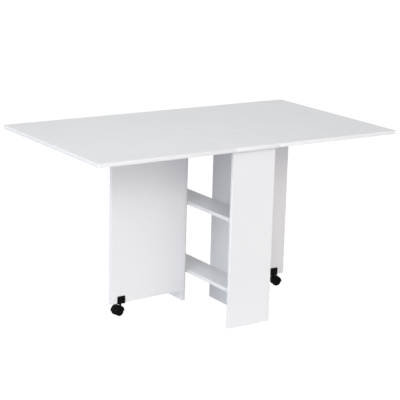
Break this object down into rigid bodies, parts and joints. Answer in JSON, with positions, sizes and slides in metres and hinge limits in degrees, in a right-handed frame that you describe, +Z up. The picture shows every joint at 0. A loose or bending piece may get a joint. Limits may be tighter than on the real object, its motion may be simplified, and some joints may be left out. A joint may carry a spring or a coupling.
{
  "type": "gateleg table",
  "caption": "White board gateleg table: narrow shelved middle on upright ends, drop leaves, swinging gates on casters that carry the leaves.",
  "frame": {"origin": "on the floor under the middle of the top", "axes": "+X along the table from the left leaf to the right leaf, +Y to the back, +Z up"},
  "size_m": [1.4, 0.8, 0.736],
  "materials": {
    "white_board": "chipboard faced in white melamine, satin, white edge banding",
    "beech": "fluted beech dowel, unfinished",
    "zinc_plated_steel": "bright zinc plate",
    "black_plastic": "moulded nylon, fine grain",
    "white_nylon": "moulded nylon, smooth"
  },
  "bodies": {
    "carcass": {"back_top_bracket": "zinc_plated_steel", "back_upright": "white_board", "centre_top": "white_board", "front_top_bracket": "zinc_plated_steel", "front_upright": "white_board", "left_gate_lower_hinge_panel_plate": "zinc_plated_steel", "left_gate_lower_hinge_pin": "zinc_plated_steel", "left_gate_upper_hinge_panel_plate": "zinc_plated_steel", "left_gate_upper_hinge_pin": "zinc_plated_steel", "left_leaf_back_hinge_centre_plate": "zinc_plated_steel", "left_leaf_back_hinge_pin": "zinc_plated_steel", "left_leaf_front_hinge_centre_plate": "zinc_plated_steel", "left_leaf_front_hinge_pin": "zinc_plated_steel", "left_side_panel": "white_board", "lower_shelf": "white_board", "lower_shelf_back_dowel_1": "beech", "lower_shelf_back_dowel_2": "beech", "lower_shelf_front_dowel_1": "beech", "lower_shelf_front_dowel_2": "beech", "right_gate_lower_hinge_panel_plate": "zinc_plated_steel", "right_gate_lower_hinge_pin": "zinc_plated_steel", "right_gate_upper_hinge_panel_plate": "zinc_plated_steel", "right_gate_upper_hinge_pin": "zinc_plated_steel", "right_leaf_back_hinge_centre_plate": "zinc_plated_steel", "right_leaf_back_hinge_pin": "zinc_plated_steel", "right_leaf_front_hinge_centre_plate": "zinc_plated_steel", "right_leaf_front_hinge_pin": "zinc_plated_steel", "right_side_panel": "white_board", "upper_shelf": "white_board", "upper_shelf_back_dowel_1": "beech", "upper_shelf_back_dowel_2": "beech", "upper_shelf_front_dowel_1": "beech", "upper_shelf_front_dowel_2": "beech"},
    "left_leaf": {"left_leaf": "white_board", "left_leaf_back_hinge_leaf_plate": "zinc_plated_steel", "left_leaf_front_hinge_leaf_plate": "zinc_plated_steel"},
    "left_gate": {"left_caster_bracket": "black_plastic", "left_caster_stem": "zinc_plated_steel", "left_gate": "white_board", "left_gate_glide": "white_nylon", "left_gate_lower_hinge_gate_plate": "zinc_plated_steel", "left_gate_upper_hinge_gate_plate": "zinc_plated_steel"},
    "left_caster": {"left_caster_axle": "zinc_plated_steel", "left_caster_hood": "black_plastic"},
    "left_wheel_1": {"left_caster_wheel_1": "black_plastic"},
    "left_wheel_2": {"left_caster_wheel_2": "black_plastic"},
    "right_leaf": {"right_leaf": "white_board", "right_leaf_back_hinge_leaf_plate": "zinc_plated_steel", "right_leaf_front_hinge_leaf_plate": "zinc_plated_steel"},
    "right_gate": {"right_caster_bracket": "black_plastic", "right_caster_stem": "zinc_plated_steel", "right_gate": "white_board", "right_gate_glide": "white_nylon", "right_gate_lower_hinge_gate_plate": "zinc_plated_steel", "right_gate_upper_hinge_gate_plate": "zinc_plated_steel"},
    "right_caster": {"right_caster_axle": "zinc_plated_steel", "right_caster_hood": "black_plastic"},
    "right_wheel_1": {"right_caster_wheel_1": "black_plastic"},
    "right_wheel_2": {"right_caster_wheel_2": "black_plastic"}
  },
  "joints": [
    {"name": "left_leaf_lift", "type": "hinge", "parent": "carcass", "child": "left_leaf", "pos_m": [-0.1, 0, 0.7177], "axis": [0, 1, 0], "range_deg": [0, 3]},
    {"name": "right_leaf_lift", "type": "hinge", "parent": "carcass", "child": "right_leaf", "pos_m": [0.1, 0, 0.7177], "axis": [0, -1, 0], "range_deg": [0, 3]},
    {"name": "left_gate_swing", "type": "hinge", "parent": "carcass", "child": "left_gate", "pos_m": [-0.0773, 0.003, 0.375], "axis": [0, 0, 1], "range_deg": [-77.5, 87.5]},
    {"name": "left_caster_swivel", "type": "hinge", "parent": "left_gate", "child": "left_caster", "pos_m": [-0.38753, -0.02135, 0.036], "axis": [0, 0, 1], "continuous": true},
    {"name": "left_wheel_1_roll", "type": "hinge", "parent": "left_caster", "child": "left_wheel_1", "pos_m": [-0.40117, -0.0245, 0.02], "axis": [0.225, -0.9744, 0], "continuous": true},
    {"name": "left_wheel_2_roll", "type": "hinge", "parent": "left_caster", "child": "left_wheel_2", "pos_m": [-0.40117, -0.0245, 0.02], "axis": [0.225, -0.9744, 0], "continuous": true},
    {"name": "right_gate_swing", "type": "hinge", "parent": "carcass", "child": "right_gate", "pos_m": [0.0773, -0.003, 0.375], "axis": [0, 0, 1], "range_deg": [-72.1, 92.9]},
    {"name": "right_caster_swivel", "type": "hinge", "parent": "right_gate", "child": "right_caster", "pos_m": [0.38845, -0.00795, 0.036], "axis": [0, 0, 1], "continuous": true},
    {"name": "right_wheel_1_roll", "type": "hinge", "parent": "right_caster", "child": "right_wheel_1", "pos_m": [0.40197, -0.01157, 0.02], "axis": [0.2588, 0.9659, 0], "continuous": true},
    {"name": "right_wheel_2_roll", "type": "hinge", "parent": "right_caster", "child": "right_wheel_2", "pos_m": [0.40197, -0.01157, 0.02], "axis": [0.2588, 0.9659, 0], "continuous": true}
  ]
}
